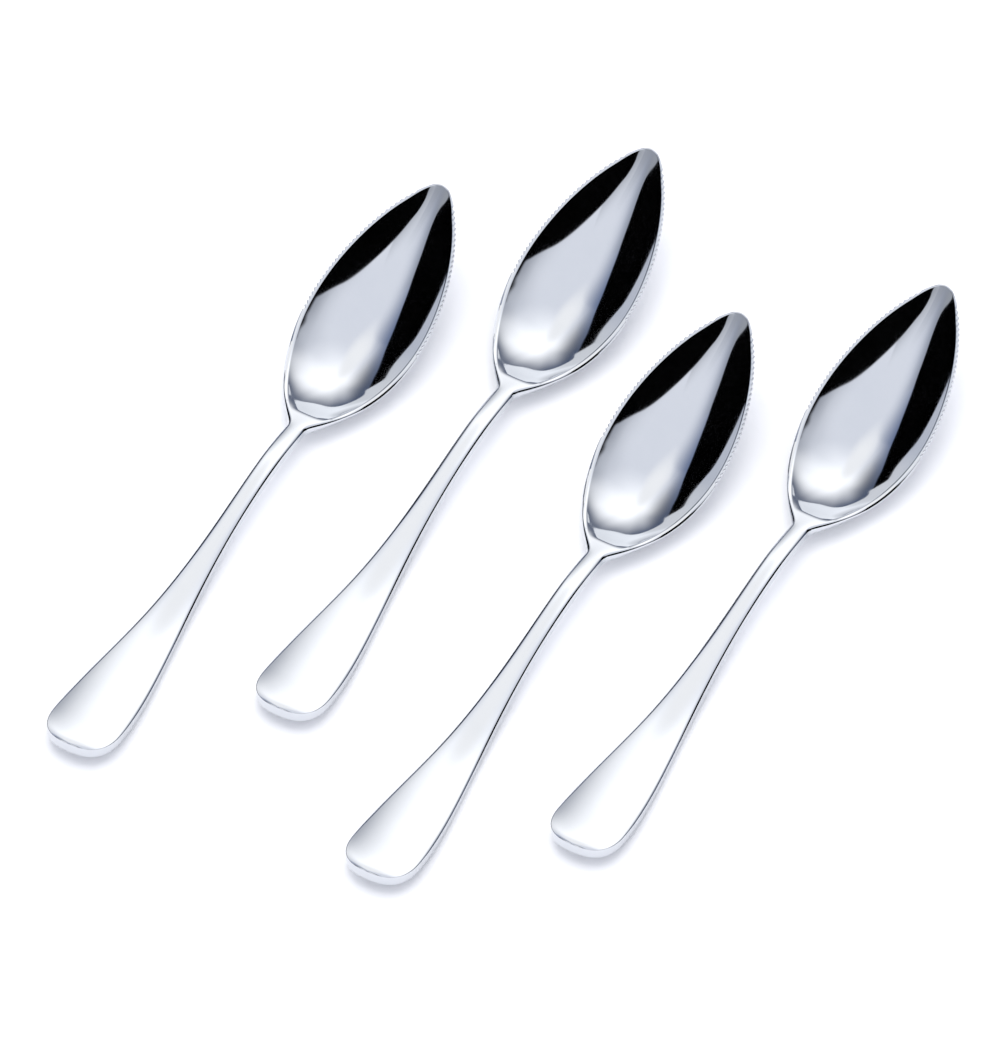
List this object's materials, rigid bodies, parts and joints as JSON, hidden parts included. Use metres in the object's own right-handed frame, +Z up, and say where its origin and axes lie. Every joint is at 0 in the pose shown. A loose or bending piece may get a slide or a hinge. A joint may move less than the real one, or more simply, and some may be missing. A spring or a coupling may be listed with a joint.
{
  "type": "grapefruit spoon set",
  "caption": "Set of loose one-piece grapefruit spoons with a broad rounded handle end, slim neck and a pointed bowl edged with fine teeth.",
  "frame": {"origin": "middle of the set's footprint, on the table that the spoons lie on", "axes": "+Y along the spoons, from the rounded handle ends to the bowl tips; +Z up from the table; +X from the first spoon to the fourth"},
  "size_m": [0.1318, 0.1896, 0.0183],
  "materials": {
    "polished_steel": "mirror-polished stainless steel"
  },
  "bodies": {
    "first_spoon": {"spoon_1": "polished_steel"},
    "second_spoon": {"spoon_2": "polished_steel"},
    "third_spoon": {"spoon_3": "polished_steel"},
    "fourth_spoon": {"spoon_4": "polished_steel"}
  },
  "joints": [
    {"name": "second_spoon_lift", "type": "slide", "parent": "first_spoon", "child": "second_spoon", "axis": [0, 0, 1], "range_m": [0, 0.06]},
    {"name": "third_spoon_lift", "type": "slide", "parent": "first_spoon", "child": "third_spoon", "axis": [0, 0, 1], "range_m": [0, 0.06]},
    {"name": "fourth_spoon_lift", "type": "slide", "parent": "first_spoon", "child": "fourth_spoon", "axis": [0, 0, 1], "range_m": [0, 0.06]}
  ]
}
